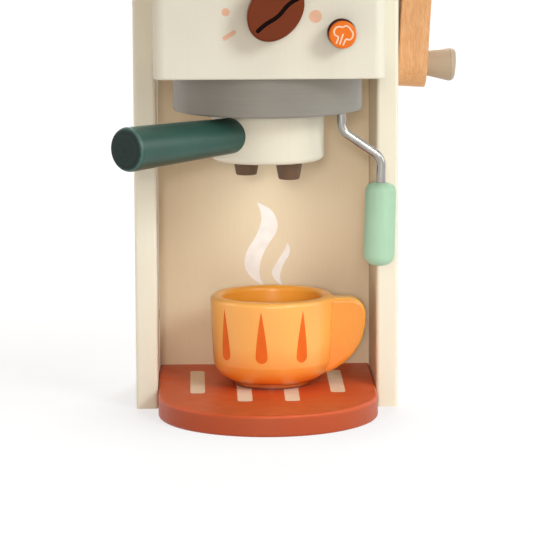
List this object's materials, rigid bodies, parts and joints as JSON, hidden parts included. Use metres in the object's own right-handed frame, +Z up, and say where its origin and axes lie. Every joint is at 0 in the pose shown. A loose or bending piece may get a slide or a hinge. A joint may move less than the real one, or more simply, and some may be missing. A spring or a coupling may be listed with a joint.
{
  "type": "toy coffee maker",
  "caption": "Wooden play espresso machine with a turning bean dial, push button, hand crank, swinging filter holder and steam wand, drip tray and play cup.",
  "frame": {"origin": "on the floor under the drip tray, midway between the side panels and in line with their front edges", "axes": "+X to the right as seen from the front, +Y to the back, +Z up"},
  "size_m": [0.1876, 0.2014, 0.265],
  "materials": {
    "cream": "painted satin",
    "tray_red": "painted satin",
    "disc_grey": "painted satin",
    "filter_cream": "painted satin",
    "handle_green": "painted satin",
    "spout_brown": "painted matte",
    "bean_brown": "painted satin",
    "button_orange": "painted gloss",
    "mint": "painted satin",
    "beech": "oiled",
    "knob_beige": "painted satin",
    "cup_yellow": "painted gloss",
    "raw_beech": "raw",
    "zinc": "zinc plated",
    "spring_steel": "bright",
    "chromed_steel": "polished"
  },
  "bodies": {
    "frame": {"left_side_panel": "cream", "right_side_panel": "cream", "back_panel": "cream", "drip_tray": "tray_red", "head_left_cheek": "cream", "head_right_cheek": "cream", "head_front_panel": "cream", "head_floor_board": "cream", "head_top_board": "cream", "back_panel_dowels": "raw_beech", "cheek_dowels": "raw_beech", "front_panel_dowels": "raw_beech", "head_board_dowels": "raw_beech", "tray_dowels": "raw_beech", "group_disc": "disc_grey", "group_disc_screws": "zinc", "stop_pin": "raw_beech", "wand_washer": "zinc", "button_spring": "spring_steel"},
    "portafilter": {"portafilter_cup": "filter_cream", "portafilter_handle": "handle_green", "handle_dowel": "raw_beech", "left_spout": "spout_brown", "right_spout": "spout_brown", "portafilter_axle": "raw_beech", "portafilter_washer": "zinc", "portafilter_screw": "zinc"},
    "steam_wand": {"steam_rod": "chromed_steel", "wand_grip": "mint", "wand_collar": "zinc", "wand_collar_screw": "zinc"},
    "bean_dial": {"bean_knob": "bean_brown", "knob_axle": "raw_beech", "knob_washer": "zinc", "knob_screw": "zinc"},
    "steam_button": {"button_cap": "button_orange", "button_stem": "raw_beech", "button_washer": "zinc", "button_screw": "zinc"},
    "crank": {"crank_arm": "beech", "crank_spacer": "raw_beech", "crank_axle": "raw_beech", "crank_washer": "zinc", "crank_screw": "zinc", "crank_knob_screw": "zinc"},
    "crank_grip": {"crank_knob": "knob_beige"},
    "cup": {"cup_body": "cup_yellow", "cup_handle": "cup_yellow", "cup_handle_dowels": "raw_beech"}
  },
  "joints": [
    {"name": "portafilter_turn", "type": "hinge", "parent": "frame", "child": "portafilter", "pos_m": [0, -0.032, 0.1687], "axis": [0, 0, 1], "range_deg": [-45, 42]},
    {"name": "steam_wand_swing", "type": "hinge", "parent": "frame", "child": "steam_wand", "pos_m": [0.0385, -0.054, 0.1689], "axis": [0, 0, 1], "range_deg": [-90, 90]},
    {"name": "bean_dial_turn", "type": "hinge", "parent": "frame", "child": "bean_dial", "pos_m": [0.003, -0.0866, 0.226], "axis": [0, 1, 0], "continuous": true},
    {"name": "steam_button_press", "type": "slide", "parent": "frame", "child": "steam_button", "axis": [0, 1, 0], "range_m": [0, 0.0035], "stiffness_N_per_m": 300, "springref_m": -0.002, "deforming": ["button_spring"]},
    {"name": "crank_turn", "type": "hinge", "parent": "frame", "child": "crank", "pos_m": [0.0765, 0.04, 0.24], "axis": [1, 0, 0], "continuous": true},
    {"name": "crank_grip_spin", "type": "hinge", "parent": "crank", "child": "crank_grip", "pos_m": [0.07336, 0.04, 0.18709], "axis": [0.9982, 0, -0.0593], "continuous": true},
    {"name": "cup_slide_out", "type": "slide", "parent": "frame", "child": "cup", "axis": [0, -1, 0], "range_m": [0, 0.16]}
  ]
}
